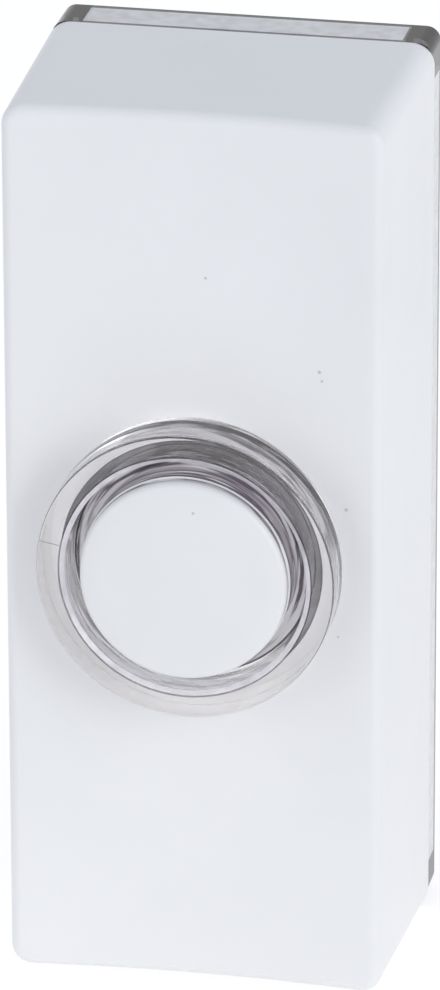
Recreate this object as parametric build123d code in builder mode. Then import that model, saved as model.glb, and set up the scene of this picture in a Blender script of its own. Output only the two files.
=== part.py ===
"""Lighted bell push: a white snap-on cover with a clear lens ring on a clear wall plate.

Millimetres. X points right, Y into the wall and Z up. The wall is the plane Y = 0 and the front faces -Y.
The origin is the middle between the two wall screw holes, on the plate's rear face.
Every depth below is measured from the wall towards the front, so it is the offset of a sketch from Plane.XZ.
"""

import os

from build123d import *

# Wall plate: a shallow tray, open at the rear, with a deeper well for the wires
plate_width = 29.3
plate_height = 71.5
plate_depth = 4.4
plate_corner = 1.1
side_rim = 1.7
end_rim = 0.9
plate_web = 1.8
plate_edge = 0.25
screw_spacing = 56.0
screw_hole_radius = 2.0
screw_boss_radius = 4.0
well_clearance = 0.8
well_corner = 1.5
well_wall = 1.5
well_floor = 1.6
lip_height = 2.6
lip_wall = 1.2
lip_clearance = 0.15

# Cover: a tapered shell with a front that is dished from side to side
cover_depth = 19.1
side_overhang = 0.25
side_taper = 0.45
top_taper = 0.25
bottom_taper = 1.0
cover_corner = 1.7
cover_wall = 1.6
front_dish = 0.9
front_edge_radius = 0.9
pry_slot_width = 8.0
pry_slot_depth = 1.0

# Snap fit between plate and cover, at the top and the bottom
snap_width = 9.0
snap_height = 4.6
snap_tab = 1.3
snap_catch = 0.6
snap_nose = 1.2
snap_play = 0.15
snap_side_gap = 0.8

# Lens ring and button cap
ring_side_margin = 3.5
ring_height = 2.95
ring_edge = 0.2
ring_land = 1.8
bore_bevel = 0.37
bore_bevel_depth = 0.27
ring_recess = 0.45
ledge_width = 1.35
seat_overlap = 0.9
ring_tail = 1.3
ring_bead = 0.5
ring_bead_length = 0.6
ring_clearance = 0.1
cap_gap = 1.33
cap_height = 4.0
cap_edge_radius = 0.45
cap_rim_width = 1.3
cap_rim_drop = 0.2
cap_rim_blend = 5.0
cap_top = 1.6
cap_wall = 1.2
cap_skirt = 7.0

# Switch
travel = 1.5
contact_gap = 0.05
stem_radius = 1.75
guide_clearance = 0.05
guide_wall = 1.2
guide_length = 4.5
neck_radius = 1.2
neck_end = 0.3
bridge_width = 4.4
bridge_margin = 0.1
bridge_thickness = 0.5
clip_rim = 1.2
clip_thickness = 0.6
clip_opening = 1.4
frame_web = 1.4
frame_arm = 7.0
frame_foot_radius = 3.0
frame_screw_spacing = 27.0
shelf_drop = 17.5
shelf_gap = 0.2
collar_gap = 0.1
post_height = 1.4
spring_clearance = 0.9
spring_wire = 0.6
spring_turns = 5.5
wire_sides = 8
seat_margin = 1.8

# Contacts and terminals
strip_thickness = 0.6
strip_margin = 0.5
strip_end_margin = 0.6
tab_clearance = 0.6
tab_width = 3.0
tab_centre = 3.6
tab_tail = 0.8
contact_spacing = 11.2
contact_button_radius = 1.1
contact_button_height = 0.4
contact_button_tail = 0.6
terminal_drop = 8.5
terminal_screw_radius = 1.6
terminal_head_radius = 2.9
terminal_head = 1.9
terminal_tail = 1.4
clamp_size = 6.4
clamp_thickness = 0.9
clamp_corner = 0.8
rivet_radius = 1.0
rivet_head_radius = 1.7
rivet_head = 0.6
hole_clearance = 0.05
drive_slot = 0.7
drive_slot_depth = 0.8

# Circuit board and what is soldered to it
board_rise = 17.5
board_drop = 3.0
board_thickness = 1.2
board_corner = 1.0
board_margin = 0.2
board_hole_margin = 1.2
led_gap = 0.4
led_radius = 1.5
led_rim = 0.25
led_rim_height = 0.8
led_height = 3.0
led_lead_pitch = 2.54
lead_radius = 0.25
lead_tail = 0.8
lead_bend = 0.7
resistor_length = 6.3
resistor_radius = 1.15
resistor_waist = 0.25
resistor_lead_pitch = 9.0
diode_length = 4.4
diode_radius = 1.1
diode_band = 0.8
diode_lead_pitch = 8.0
axial_side_margin = 3.27
axial_end_margin = 6.0
axial_lift = 0.2
frame_screw_radius = 1.1
frame_screw_head_radius = 2.1
frame_screw_head = 1.3
frame_screw_floor = 0.5

# Outlines that follow from the sizes above
cover_width = plate_width + 2 * side_overhang
cover_ends = ((1, top_taper), (-1, bottom_taper))
front_width = cover_width - 2 * side_taper
dish_radius = front_width**2 / (8 * front_dish) + front_dish / 2
ring_radius = cover_width / 2 - ring_side_margin
seat_radius = ring_radius + seat_overlap
ledge_radius = ring_radius - ledge_width
sleeve_radius = ledge_radius - ring_clearance
land_radius = ring_radius - ring_land
ring_bore_radius = land_radius - bore_bevel
cap_radius = ring_bore_radius - cap_gap
bridge_length = contact_spacing + 2 * (contact_button_radius + bridge_margin)
tab_inside = bridge_length / 2 + tab_clearance
strip_outside = tab_inside + strip_thickness
strip_inside = contact_spacing / 2 - contact_button_radius - strip_margin
strip_centre = (strip_inside + strip_outside) / 2
strip_width = strip_outside - strip_inside
rivet_height = tab_centre + tab_width / 2 + rivet_head_radius
strip_top = rivet_height + rivet_head_radius + strip_end_margin
strip_bottom = -terminal_drop - clamp_size / 2 - strip_end_margin
well_width = 2 * (strip_centre + clamp_size / 2 + well_clearance)
well_height = frame_screw_spacing + 2 * frame_foot_radius
guide_radius = stem_radius + guide_clearance
spring_radius = guide_radius + guide_wall + spring_clearance + spring_wire / 2
spring_seat_radius = spring_radius + seat_margin
board_hole_radius = spring_radius + spring_wire / 2 + board_hole_margin
led_from_centre = (ring_bore_radius + ring_radius) / 2
board_width = 2 * (led_from_centre + led_radius + led_rim + board_margin)
axial_spacing = board_width - 2 * axial_side_margin
shelf_top = -board_drop - shelf_gap
axial_height = board_rise - axial_end_margin

# Depths that follow from the sizes above, from the front back to the wiring well
front_depth = plate_depth + cover_depth
dish_depth = front_depth - front_dish
cap_depth = front_depth + cap_height
cap_roof_depth = cap_depth - cap_top
ring_top_depth = front_depth + ring_height
ring_seat_depth = dish_depth - ring_recess
seat_rear_depth = dish_depth - cover_wall
bead_depth = seat_rear_depth - ring_clearance
ring_rear_depth = seat_rear_depth - ring_tail
board_front_depth = ring_rear_depth - led_gap - led_height
board_rear_depth = board_front_depth - board_thickness
web_rear_depth = board_rear_depth - frame_web
bridge_front_depth = web_rear_depth - contact_gap
bridge_rear_depth = bridge_front_depth - bridge_thickness
stem_end_depth = bridge_rear_depth - clip_thickness - neck_end
strip_front_depth = bridge_rear_depth - travel - contact_gap - contact_button_height
floor_depth = strip_front_depth - strip_thickness
post_depth = floor_depth + post_height
well_depth = floor_depth - well_floor
snap_depth = plate_depth + snap_height


def cover_outline(depth, inset, mode=Mode.ADD):
    """Rounded outline of the tapered cover at a depth, drawn inside its face by the inset."""
    share = (depth - plate_depth) / cover_depth
    width = cover_width - 2 * side_taper * share - 2 * inset
    height = plate_height - (top_taper + bottom_taper) * share - 2 * inset
    with Locations((0, (bottom_taper - top_taper) / 2 * share)):
        RectangleRounded(width, height, max(cover_corner - inset, plate_edge), mode=mode)


def cover_wall_height(depth, taper):
    """Distance of the inner face of one end of the cover from the centre, at a depth."""
    return plate_height / 2 - taper * (depth - plate_depth) / cover_depth - cover_wall


def tapered_block(inset, skin):
    """Solid form of the cover, smaller by the inset at its sides and by the skin at its dished front."""
    with BuildPart() as block:
        for depth in (plate_depth, front_depth + front_dish):
            with BuildSketch(Plane.XZ.offset(depth)):
                cover_outline(depth, inset)
        loft()
        with Locations((0, -dish_depth - dish_radius, 0)):
            Cylinder(dish_radius + skin, 2 * plate_height, mode=Mode.SUBTRACT)
    return block.part


def turned(points):
    """Piece turned about the Y axis from the (radius, depth) corners of its half section."""
    with BuildPart() as piece:
        with BuildSketch(Plane.XY):
            with BuildLine():
                Polyline(*[(radius, -depth) for radius, depth in points], close=True)
            make_face()
        revolve(axis=Axis.Y)
    return piece.part


def slotted_screw(head_depth, tip_depth, head_radius, head_thickness, shank_radius):
    """Pan-head screw on the Y axis whose head lies under head_depth, on the side away from the tip."""
    side = 1 if head_depth > tip_depth else -1
    top_depth = head_depth + side * head_thickness
    section = [(0, top_depth), (head_radius, top_depth), (head_radius, head_depth)]
    section += [(shank_radius, head_depth), (shank_radius, tip_depth), (0, tip_depth)]
    with BuildPart() as screw:
        add(turned(section))
        crown = screw.edges().filter_by(GeomType.CIRCLE).sort_by(Axis.Y)[-1 if side < 0 else 0]
        chamfer(crown, head_thickness / 3)
        with BuildSketch(Plane.XZ.offset(top_depth)):
            Rectangle(2 * head_radius, drive_slot)
        extrude(amount=-side * drive_slot_depth, mode=Mode.SUBTRACT)
    return screw.part


def wire_lead(pitch, depth, height):
    """Bent lead of an axial piece: along Z at a depth, then back through the board at both ends."""
    tail_y = -(board_rear_depth - lead_tail)
    ends = [height + pitch / 2, height - pitch / 2]
    route = [(0, tail_y, ends[0]), (0, -depth, ends[0]), (0, -depth, ends[1]), (0, tail_y, ends[1])]
    with BuildPart() as lead:
        with BuildLine():
            path = FilletPolyline(*route, radius=lead_bend)
        with BuildSketch(Plane(origin=path @ 0, z_dir=path % 0)):
            RegularPolygon(lead_radius, wire_sides)
        sweep()
    return lead.part


def write(piece, name):
    """Label a finished piece and save it as its own file."""
    piece.label = name
    export_step(piece, f"parts/{name}.step")


os.makedirs("parts", exist_ok=True)

# Cover: tapered shell, dished front and a stepped hole for the lens ring
with BuildPart() as cover:
    add(tapered_block(0, 0))
    dished_face = cover.faces().filter_by(GeomType.CYLINDER).sort_by(SortBy.AREA)[-1]
    fillet(dished_face.edges(), min(front_edge_radius, cover_corner - plate_edge))
    add(tapered_block(cover_wall, cover_wall), mode=Mode.SUBTRACT)
    # Flat collar behind the dish, with a ledge in its hole that the ring rests on
    with BuildSketch(Plane.XZ.offset(seat_rear_depth)):
        Circle(seat_radius)
    extrude(amount=cover_wall)
    with BuildSketch(Plane.XZ.offset(seat_rear_depth)):
        Circle(ledge_radius)
    extrude(amount=cover_wall, mode=Mode.SUBTRACT)
    with BuildSketch(Plane.XZ.offset(ring_seat_depth)):
        Circle(ring_radius + ring_clearance)
    extrude(amount=ring_recess + front_dish, mode=Mode.SUBTRACT)
    # Ledges inside the top and bottom walls that the plate's snap tabs catch on
    with BuildSketch(Plane.YZ):
        for side, taper in cover_ends:
            ledge_foot = cover_wall_height(snap_depth, taper)
            with BuildLine():
                Polyline(
                    (-snap_depth, side * (ledge_foot + cover_wall / 2)),
                    (-snap_depth, side * (ledge_foot - snap_catch)),
                    (-snap_depth + snap_nose / 2, side * (ledge_foot - snap_catch)),
                    (-snap_depth + 2 * snap_nose, side * (ledge_foot + cover_wall / 2)),
                    close=True,
                )
            make_face()
    extrude(amount=snap_width / 2 + snap_side_gap, both=True)
    # Slot in the lower edge for the blade that lifts the cover off
    with BuildSketch(Plane.XZ.offset(plate_depth)):
        with Locations((0, -plate_height / 2)):
            Rectangle(pry_slot_width, 3 * cover_wall)
    extrude(amount=pry_slot_depth, mode=Mode.SUBTRACT)
write(cover.part, "cover")

# Back plate: tray, screw bosses, wiring well, locating lip, snap tabs and posts
with BuildPart() as back_plate:
    with BuildSketch(Plane.XZ):
        RectangleRounded(plate_width, plate_height, plate_corner)
    extrude(amount=plate_depth)
    chamfer(back_plate.faces().sort_by(Axis.Y)[-1].edges(), plate_edge)
    # Hollow of the tray, with a boss left round each screw hole
    with BuildSketch(Plane.XZ):
        Rectangle(plate_width - 2 * side_rim, plate_height - 2 * end_rim)
        with GridLocations(0, screw_spacing, 1, 2):
            Circle(screw_boss_radius, mode=Mode.SUBTRACT)
    extrude(amount=plate_depth - plate_web, mode=Mode.SUBTRACT)
    # Wiring well, open to the wall
    with BuildSketch(Plane.XZ.offset(plate_depth - plate_web)):
        RectangleRounded(well_width + 2 * well_wall, well_height + 2 * well_wall, well_corner + well_wall)
    extrude(amount=floor_depth - plate_depth + plate_web)
    with BuildSketch(Plane.XZ):
        RectangleRounded(well_width, well_height, well_corner)
    extrude(amount=well_depth, mode=Mode.SUBTRACT)
    # Locating lip inside the cover's wall, left open where the snap tabs bend
    with BuildSketch(Plane.XZ.offset(plate_depth)):
        cover_outline(plate_depth + lip_height, cover_wall + lip_clearance)
        cover_outline(plate_depth + lip_height, cover_wall + lip_clearance + lip_wall, Mode.SUBTRACT)
        Rectangle(snap_width + 2 * snap_side_gap, 2 * plate_height, mode=Mode.SUBTRACT)
    extrude(amount=lip_height)
    # Snap tabs with a hooked nose in front of the cover's ledges
    with BuildSketch(Plane.YZ):
        nose_depth = snap_depth + snap_play
        for side, taper in cover_ends:
            tab_face = cover_wall_height(snap_depth, taper) - snap_catch - snap_play
            nose_face = cover_wall_height(nose_depth + snap_nose, taper) - snap_play
            with BuildLine():
                Polyline(
                    (-plate_depth, side * (tab_face - snap_tab)),
                    (-plate_depth, side * tab_face),
                    (-nose_depth, side * tab_face),
                    (-nose_depth, side * nose_face),
                    (-nose_depth - snap_nose / 3, side * nose_face),
                    (-nose_depth - snap_nose, side * (tab_face - snap_tab / 2)),
                    (-nose_depth - snap_nose, side * (tab_face - snap_tab)),
                    close=True,
                )
            make_face()
    extrude(amount=snap_width / 2, both=True)
    # Posts that the switch frame stands on
    with BuildSketch(Plane.XZ.offset(floor_depth)):
        with GridLocations(0, frame_screw_spacing, 1, 2):
            Circle(frame_foot_radius)
    extrude(amount=post_height)
    with BuildSketch(Plane.XZ.offset(well_depth + frame_screw_floor)):
        with GridLocations(0, frame_screw_spacing, 1, 2):
            Circle(frame_screw_radius + hole_clearance)
    extrude(amount=post_depth - well_depth, mode=Mode.SUBTRACT)
    # Holes for the wall screws, the terminal screws, the rivets and the end of the stem
    with BuildSketch(Plane.XZ):
        with GridLocations(0, screw_spacing, 1, 2):
            Circle(screw_hole_radius)
    extrude(amount=plate_depth, mode=Mode.SUBTRACT)
    with BuildSketch(Plane.XZ.offset(well_depth)):
        with Locations((-strip_centre, -terminal_drop), (strip_centre, -terminal_drop)):
            Circle(terminal_screw_radius + hole_clearance)
        with Locations((-strip_centre, rivet_height), (strip_centre, rivet_height)):
            Circle(rivet_radius + hole_clearance)
        Circle(neck_radius + clip_rim + strip_margin)
    extrude(amount=well_floor, mode=Mode.SUBTRACT)
write(back_plate.part, "back_plate")

# Lens ring: straight outer wall, flat top, bevelled bore, and a sleeve with a bead that snaps in the cover
with BuildPart() as lens_ring:
    add(
        turned(
            [
                (ring_bore_radius, ring_rear_depth),
                (sleeve_radius, ring_rear_depth),
                (sleeve_radius + ring_bead, bead_depth - ring_bead_length),
                (sleeve_radius + ring_bead, bead_depth),
                (sleeve_radius, bead_depth),
                (sleeve_radius, ring_seat_depth),
                (ring_radius, ring_seat_depth),
                (ring_radius, ring_top_depth - ring_edge),
                (ring_radius - ring_edge, ring_top_depth),
                (land_radius, ring_top_depth),
                (ring_bore_radius, ring_top_depth - bore_bevel_depth),
            ]
        )
    )
write(lens_ring.part, "lens_ring")

# Button cap: cup with a soft sloping rim, its stem, and a neck for the bridge and clip
with BuildPart() as button_cap:
    add(
        turned(
            [
                (0, cap_depth),
                (cap_radius - cap_rim_width, cap_depth),
                (cap_radius, cap_depth - cap_rim_drop),
                (cap_radius, cap_depth - cap_skirt),
                (cap_radius - cap_wall, cap_depth - cap_skirt),
                (cap_radius - cap_wall, cap_roof_depth),
                (stem_radius, cap_roof_depth),
                (stem_radius, bridge_front_depth),
                (neck_radius, bridge_front_depth),
                (neck_radius, stem_end_depth),
                (0, stem_end_depth),
            ]
        )
    )
    outer_edge = button_cap.edges().filter_by(GeomType.CIRCLE).sort_by(Axis.Y)[1]
    fillet(outer_edge, min(cap_edge_radius, cap_top - plate_edge))
    face_edge = button_cap.edges().filter_by(GeomType.CIRCLE).sort_by(Axis.Y)[0]
    fillet(face_edge, cap_rim_blend)
write(button_cap.part, "button_cap")

# Contact bridge: strip with a hole for the stem's neck
with BuildPart() as contact_bridge:
    with BuildSketch(Plane.XZ.offset(bridge_rear_depth)):
        SlotOverall(bridge_length, bridge_width)
        Circle(neck_radius + hole_clearance, mode=Mode.SUBTRACT)
    extrude(amount=bridge_thickness)
write(contact_bridge.part, "contact_bridge")

# Retaining clip: open ring pushed on the neck behind the bridge
with BuildPart() as retaining_clip:
    with BuildSketch(Plane.XZ.offset(bridge_rear_depth - clip_thickness)):
        Circle(neck_radius + clip_rim)
        Circle(neck_radius, mode=Mode.SUBTRACT)
        with Locations((0, -neck_radius - clip_rim / 2)):
            Rectangle(clip_opening, 2 * clip_rim, mode=Mode.SUBTRACT)
    extrude(amount=clip_thickness)
write(retaining_clip.part, "retaining_clip")

# Switch frame: two feet, an arm between them, the tube that guides the stem, and a shelf below the board
# with a half-round collar that backs the lens ring
with BuildPart() as switch_frame:
    with BuildSketch(Plane.XZ.offset(web_rear_depth)):
        SlotCenterToCenter(frame_screw_spacing, frame_arm, rotation=90)
        Circle(spring_seat_radius)
    extrude(amount=frame_web)
    with BuildSketch(Plane.XZ.offset(post_depth)):
        with GridLocations(0, frame_screw_spacing, 1, 2):
            Circle(frame_foot_radius)
    extrude(amount=board_rear_depth - post_depth)
    with BuildSketch(Plane.XZ.offset(board_rear_depth)):
        with Locations((0, shelf_top)):
            Rectangle(board_width, shelf_drop + shelf_top, align=(Align.CENTER, Align.MAX))
        Circle(board_hole_radius, mode=Mode.SUBTRACT)
    extrude(amount=board_thickness)
    with BuildSketch(Plane.XZ.offset(board_front_depth)):
        Circle(seat_radius)
        Circle(ring_bore_radius, mode=Mode.SUBTRACT)
        with Locations((0, shelf_top)):
            Rectangle(2 * seat_radius, seat_radius, align=(Align.CENTER, Align.MAX), mode=Mode.INTERSECT)
        with Locations((0, -frame_screw_spacing / 2)):
            Circle(frame_screw_head_radius + shelf_gap, mode=Mode.SUBTRACT)
    extrude(amount=ring_rear_depth - collar_gap - board_front_depth)
    with BuildSketch(Plane.XZ.offset(web_rear_depth)):
        Circle(guide_radius + guide_wall)
    extrude(amount=frame_web + guide_length)
    with BuildSketch(Plane.XZ.offset(web_rear_depth)):
        Circle(guide_radius)
    extrude(amount=frame_web + guide_length, mode=Mode.SUBTRACT)
    with BuildSketch(Plane.XZ.offset(post_depth)):
        with GridLocations(0, frame_screw_spacing, 1, 2):
            Circle(frame_screw_radius + hole_clearance)
    extrude(amount=board_front_depth - post_depth, mode=Mode.SUBTRACT)
write(switch_frame.part, "switch_frame")

# Return spring: wire coil between the frame and the cap's roof
spring_length = cap_roof_depth - board_rear_depth - spring_wire
with BuildPart() as return_spring:
    with BuildLine():
        coil = Helix(
            pitch=spring_length / spring_turns,
            height=spring_length,
            radius=spring_radius,
            center=(0, -board_rear_depth - spring_wire / 2, 0),
            direction=(0, -1, 0),
        )
    with BuildSketch(Plane(origin=coil @ 0, z_dir=coil % 0)):
        RegularPolygon(spring_wire / 2, wire_sides)
    sweep(is_frenet=True)
write(return_spring.part, "return_spring")

# Contact strips: flat bars on the well's floor, each with a tab up to the board
for side, name in ((-1, "contact_left"), (1, "contact_right")):
    with BuildPart() as strip:
        with BuildSketch(Plane.XZ.offset(floor_depth)):
            with Locations((side * strip_centre, (strip_top + strip_bottom) / 2)):
                RectangleRounded(strip_width, strip_top - strip_bottom, strip_margin)
            with Locations((side * strip_centre, -terminal_drop)):
                Circle(terminal_screw_radius + hole_clearance, mode=Mode.SUBTRACT)
            with Locations((side * strip_centre, rivet_height)):
                Circle(rivet_radius + hole_clearance, mode=Mode.SUBTRACT)
            with Locations((side * contact_spacing / 2, 0)):
                Circle(contact_button_tail + hole_clearance, mode=Mode.SUBTRACT)
        extrude(amount=strip_thickness)
        with BuildSketch(Plane.XZ.offset(floor_depth)):
            with Locations((side * (tab_inside + strip_thickness / 2), tab_centre)):
                Rectangle(strip_thickness, tab_width)
        extrude(amount=board_front_depth + tab_tail - floor_depth)
    write(strip.part, name)

# Contact buttons: crowned rivets that the bridge lands on
with BuildPart() as contact_buttons:
    with BuildSketch(Plane.XZ.offset(floor_depth)):
        with GridLocations(contact_spacing, 0, 2, 1):
            Circle(contact_button_tail)
    extrude(amount=strip_thickness)
    with BuildSketch(Plane.XZ.offset(strip_front_depth)):
        with GridLocations(contact_spacing, 0, 2, 1):
            Circle(contact_button_radius)
    extrude(amount=contact_button_height)
    crowns = contact_buttons.edges().filter_by(GeomType.CIRCLE).group_by(Axis.Y)[0]
    chamfer(crowns, contact_button_height / 2)
write(contact_buttons.part, "contact_buttons")

# Contact rivets: through each strip and the well's floor, headed on both sides
with BuildPart() as contact_rivets:
    for depth, radius, length in (
        (well_depth - rivet_head, rivet_head_radius, rivet_head),
        (well_depth, rivet_radius, strip_front_depth - well_depth),
        (strip_front_depth, rivet_head_radius, rivet_head),
    ):
        with BuildSketch(Plane.XZ.offset(depth)):
            with Locations((-strip_centre, rivet_height), (strip_centre, rivet_height)):
                Circle(radius)
        extrude(amount=length)
    rims = contact_rivets.edges().filter_by(GeomType.CIRCLE).group_by(Axis.Y)
    chamfer(rims[0] + rims[-1], rivet_head / 2)
write(contact_rivets.part, "contact_rivets")

# Terminal screws: headed in the well, with the clamps under their heads
clamp_rear_depth = well_depth - clamp_thickness
with BuildPart() as terminal_screws:
    terminal_screw = slotted_screw(
        clamp_rear_depth,
        strip_front_depth + terminal_tail,
        terminal_head_radius,
        terminal_head,
        terminal_screw_radius,
    )
    with Locations((-strip_centre, 0, -terminal_drop), (strip_centre, 0, -terminal_drop)):
        add(terminal_screw)
write(terminal_screws.part, "terminal_screws")

with BuildPart() as wire_clamps:
    with BuildSketch(Plane.XZ.offset(clamp_rear_depth)):
        with Locations((-strip_centre, -terminal_drop), (strip_centre, -terminal_drop)):
            RectangleRounded(clamp_size, clamp_size, clamp_corner)
            Circle(terminal_screw_radius + hole_clearance, mode=Mode.SUBTRACT)
    extrude(amount=clamp_thickness)
write(wire_clamps.part, "wire_clamps")

# Circuit board: held on the frame above the shelf, with a round opening for the spring
with BuildPart() as circuit_board:
    with BuildSketch(Plane.XZ.offset(board_rear_depth)):
        with Locations((0, (board_rise - board_drop) / 2)):
            RectangleRounded(board_width, board_rise + board_drop, board_corner)
        Circle(board_hole_radius, mode=Mode.SUBTRACT)
        with Locations((0, frame_screw_spacing / 2)):
            Circle(frame_screw_radius + hole_clearance, mode=Mode.SUBTRACT)
        for side in (-1, 1):
            with Locations((side * (tab_inside + strip_thickness / 2), tab_centre)):
                Rectangle(
                    strip_thickness + 2 * hole_clearance, tab_width + 2 * hole_clearance, mode=Mode.SUBTRACT
                )
            with Locations((side * led_from_centre, 0)):
                with GridLocations(0, led_lead_pitch, 1, 2):
                    Circle(lead_radius + hole_clearance, mode=Mode.SUBTRACT)
        for side, pitch in ((-1, resistor_lead_pitch), (1, diode_lead_pitch)):
            with Locations((side * axial_spacing / 2, axial_height)):
                with GridLocations(0, pitch, 1, 2):
                    Circle(lead_radius + hole_clearance, mode=Mode.SUBTRACT)
    extrude(amount=board_thickness)
write(circuit_board.part, "circuit_board")

# Lamps: round-nosed bodies behind the lens ring, on two leads through the board
for side, name in ((-1, "led_left"), (1, "led_right")):
    with BuildPart(Plane.XZ.offset(board_front_depth) * Pos(side * led_from_centre, 0)) as led:
        Cylinder(led_radius + led_rim, led_rim_height, align=(Align.CENTER, Align.CENTER, Align.MIN))
        Cylinder(led_radius, led_height, align=(Align.CENTER, Align.CENTER, Align.MIN))
        nose = led.edges().filter_by(GeomType.CIRCLE).sort_by(Axis.Y)[0]
        fillet(nose, led_radius / 2)
        with Locations((0, led_lead_pitch / 2, 0), (0, -led_lead_pitch / 2, 0)):
            Cylinder(
                lead_radius, board_thickness + lead_tail, align=(Align.CENTER, Align.CENTER, Align.MAX)
            )
    write(led.part, name)

# Resistor: body with swollen ends on a bent lead
resistor_depth = board_front_depth + axial_lift + resistor_radius
with BuildPart() as resistor:
    with Locations((0, -resistor_depth, axial_height)):
        Cylinder(resistor_radius - resistor_waist, resistor_length - resistor_radius)
    for end in (-1, 1):
        with Locations((0, -resistor_depth, axial_height + end * (resistor_length - resistor_radius) / 2)):
            Cylinder(resistor_radius, resistor_radius)
    body_edges = resistor.edges().filter_by(GeomType.CIRCLE).group_by(SortBy.RADIUS)[-1]
    chamfer(body_edges, resistor_waist / 2)
    add(wire_lead(resistor_lead_pitch, resistor_depth, axial_height))
write(resistor.part.moved(Location((-axial_spacing / 2, 0, 0))), "resistor")

# Diode: smooth round body with a raised cathode band on a bent lead
diode_depth = board_front_depth + axial_lift + diode_radius
with BuildPart() as diode:
    with Locations((0, -diode_depth, axial_height)):
        Cylinder(diode_radius, diode_length)
    chamfer(diode.edges().filter_by(GeomType.CIRCLE), diode_radius / 4)
    with Locations((0, -diode_depth, axial_height + diode_length / 2 - diode_band)):
        Cylinder(diode_radius + hole_clearance, diode_band)
    add(wire_lead(diode_lead_pitch, diode_depth, axial_height))
write(diode.part.moved(Location((axial_spacing / 2, 0, 0))), "diode")

# Frame screws: through the board, the shelf and the frame into the plate's posts
with BuildPart() as frame_screws:
    frame_screw = slotted_screw(
        board_front_depth,
        well_depth + frame_screw_floor,
        frame_screw_head_radius,
        frame_screw_head,
        frame_screw_radius,
    )
    with Locations((0, 0, -frame_screw_spacing / 2), (0, 0, frame_screw_spacing / 2)):
        add(frame_screw)
write(frame_screws.part, "frame_screws")
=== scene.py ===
# %% [markdown]
# # A lighted bell push
#
# The CAD model gives this bell push its sizes, its inside and its one moving part, the button. This lesson
# gives it its looks. The cover, the clear ring, the button and the spring are modelled again as smooth
# meshes in the same place, and everything else keeps its CAD shape and gets a finish of its own. Sizes are
# written in millimetres and turned into metres by `MM`. X points right, Y into the wall, Z up, and the
# front faces -Y, so a depth of 23.5 means 23.5 mm in front of the wall.

# %% The CAD frame
import math

import bpy
from mathutils import Matrix, Vector


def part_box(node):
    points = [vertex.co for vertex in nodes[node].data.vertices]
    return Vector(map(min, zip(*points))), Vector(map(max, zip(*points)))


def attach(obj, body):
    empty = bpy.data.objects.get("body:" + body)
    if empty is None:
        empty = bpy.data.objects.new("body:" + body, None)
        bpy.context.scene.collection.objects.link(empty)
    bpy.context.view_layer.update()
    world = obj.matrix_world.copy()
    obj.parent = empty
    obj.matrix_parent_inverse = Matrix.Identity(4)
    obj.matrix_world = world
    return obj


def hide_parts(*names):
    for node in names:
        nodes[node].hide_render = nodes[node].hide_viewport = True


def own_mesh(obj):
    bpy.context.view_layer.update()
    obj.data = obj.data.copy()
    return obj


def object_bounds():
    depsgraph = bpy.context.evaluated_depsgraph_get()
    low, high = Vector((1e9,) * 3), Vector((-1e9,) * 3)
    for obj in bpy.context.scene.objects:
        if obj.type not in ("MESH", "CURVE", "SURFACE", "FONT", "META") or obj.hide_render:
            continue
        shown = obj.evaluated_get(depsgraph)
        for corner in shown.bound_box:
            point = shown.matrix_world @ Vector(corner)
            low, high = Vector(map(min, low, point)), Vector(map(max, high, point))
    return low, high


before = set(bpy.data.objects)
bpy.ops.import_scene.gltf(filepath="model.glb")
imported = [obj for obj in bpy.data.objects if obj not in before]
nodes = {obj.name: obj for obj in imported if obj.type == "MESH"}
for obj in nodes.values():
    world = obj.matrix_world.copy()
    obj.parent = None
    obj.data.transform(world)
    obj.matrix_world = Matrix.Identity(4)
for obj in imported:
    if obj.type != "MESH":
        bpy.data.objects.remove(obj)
cad_low, cad_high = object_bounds()
MM = 0.001
scene = bpy.context.scene
scene.view_settings.view_transform = "Standard"
# Light meets many faces in clear plastic, so it may bounce often.
scene.cycles.max_bounces = 32
scene.cycles.glossy_bounces = 20
scene.cycles.transmission_bounces = 24
scene.cycles.blur_glossy = 0.0
print("CAD box in mm:", [round((b - a) / MM, 2) for a, b in zip(cad_low, cad_high)])

# %% [markdown]
# ## Tools for modelling in code
#
# By hand one would click edges and faces in edit mode. Here a test in code picks them, by their place or by
# the way they face. Everything is deselected before a new piece starts, because the loaded CAD nodes come
# selected and an operator acts on all that is selected.


# %% Selecting and finishing
def start_piece():
    """Leaves edit mode and deselects everything, ready for a new primitive."""
    if bpy.context.object and bpy.context.object.mode != "OBJECT":
        bpy.ops.object.mode_set(mode="OBJECT")
    bpy.ops.object.select_all(action="DESELECT")


def pick(piece, kind, test):
    """Selects the edges or faces of a piece that pass a test, and leaves it in edit mode."""
    bpy.ops.object.mode_set(mode="EDIT")
    bpy.ops.mesh.select_mode(type=kind)
    bpy.ops.mesh.select_all(action="DESELECT")
    bpy.ops.object.mode_set(mode="OBJECT")
    elements = piece.data.edges if kind == "EDGE" else piece.data.polygons
    for element in elements:
        element.select = test(element)
    bpy.ops.object.mode_set(mode="EDIT")


def place(piece, name):
    """Names a new primitive and moves its place and turn into its mesh."""
    piece.name = name
    bpy.ops.object.transform_apply(location=True, rotation=True, scale=True)
    return piece


def apply_modifier(piece, kind, **settings):
    """Adds a modifier with the given settings and applies it."""
    modifier = piece.modifiers.new(kind.title(), kind)
    for key, value in settings.items():
        setattr(modifier, key, value)
    bpy.ops.object.select_all(action="DESELECT")
    piece.select_set(True)
    bpy.context.view_layer.objects.active = piece
    bpy.ops.object.modifier_apply(modifier=modifier.name)


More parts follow.
